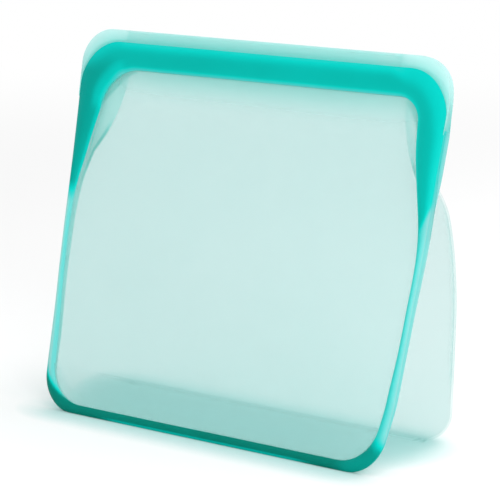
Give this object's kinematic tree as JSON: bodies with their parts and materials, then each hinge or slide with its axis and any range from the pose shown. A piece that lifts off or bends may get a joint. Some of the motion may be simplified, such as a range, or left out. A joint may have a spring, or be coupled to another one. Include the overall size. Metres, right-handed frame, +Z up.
{
  "type": "reusable silicone bag",
  "caption": "Stand-up reusable silicone food bag: clear leaning front in a thick teal rim, clear back, sides and base, and a press seal with pull lips across the mouth.",
  "frame": {"origin": "on the floor under the middle of the bag as it stands", "axes": "+X to the right seen from the front, across the mouth; +Y to the back; +Z up"},
  "size_m": [0.2588, 0.0877, 0.231],
  "materials": {
    "clear_sheet": "clear silicone sheet with a faint aqua tint, satin",
    "teal_bead": "translucent teal silicone, satin",
    "pale_lip": "thin clear silicone, finely ribbed"
  },
  "bodies": {
    "bag": {"front_rim": "teal_bead", "left_base_arch": "clear_sheet", "right_base_arch": "clear_sheet", "base_heel": "clear_sheet", "left_base_side": "clear_sheet", "right_base_side": "clear_sheet", "left_back_edge": "clear_sheet", "right_back_edge": "clear_sheet", "left_top_corner": "clear_sheet", "right_top_corner": "clear_sheet", "left_seal_end": "teal_bead", "right_seal_end": "teal_bead"},
    "front_wall": {"front_panel": "clear_sheet", "front_seal_band": "teal_bead", "seal_rib": "teal_bead", "front_pull_lip": "pale_lip", "front_grip_ribs": "pale_lip"},
    "back_wall": {"back_panel": "clear_sheet", "back_seal_band": "teal_bead", "groove_lower_jaw": "teal_bead", "groove_upper_jaw": "teal_bead", "back_pull_lip": "pale_lip", "back_grip_ribs": "pale_lip"},
    "left_side": {"left_side_panel": "clear_sheet"},
    "right_side": {"right_side_panel": "clear_sheet"}
  },
  "joints": [
    {"name": "front_wall_opens", "type": "hinge", "parent": "bag", "child": "front_wall", "pos_m": [0, -0.04027, 0.00675], "axis": [1, 0, 0], "range_deg": [0, 9], "stiffness_Nm_per_rad": 1.5},
    {"name": "back_wall_opens", "type": "hinge", "parent": "bag", "child": "back_wall", "pos_m": [0, 0.0433, 0.0232], "axis": [-1, 0, 0], "range_deg": [0, 9], "stiffness_Nm_per_rad": 1.5},
    {"name": "left_side_presses_in", "type": "slide", "parent": "bag", "child": "left_side", "axis": [1, 0, 0], "range_m": [0, 0.012], "stiffness_N_per_m": 60},
    {"name": "right_side_presses_in", "type": "slide", "parent": "bag", "child": "right_side", "axis": [-1, 0, 0], "range_m": [0, 0.012], "stiffness_N_per_m": 60}
  ]
}
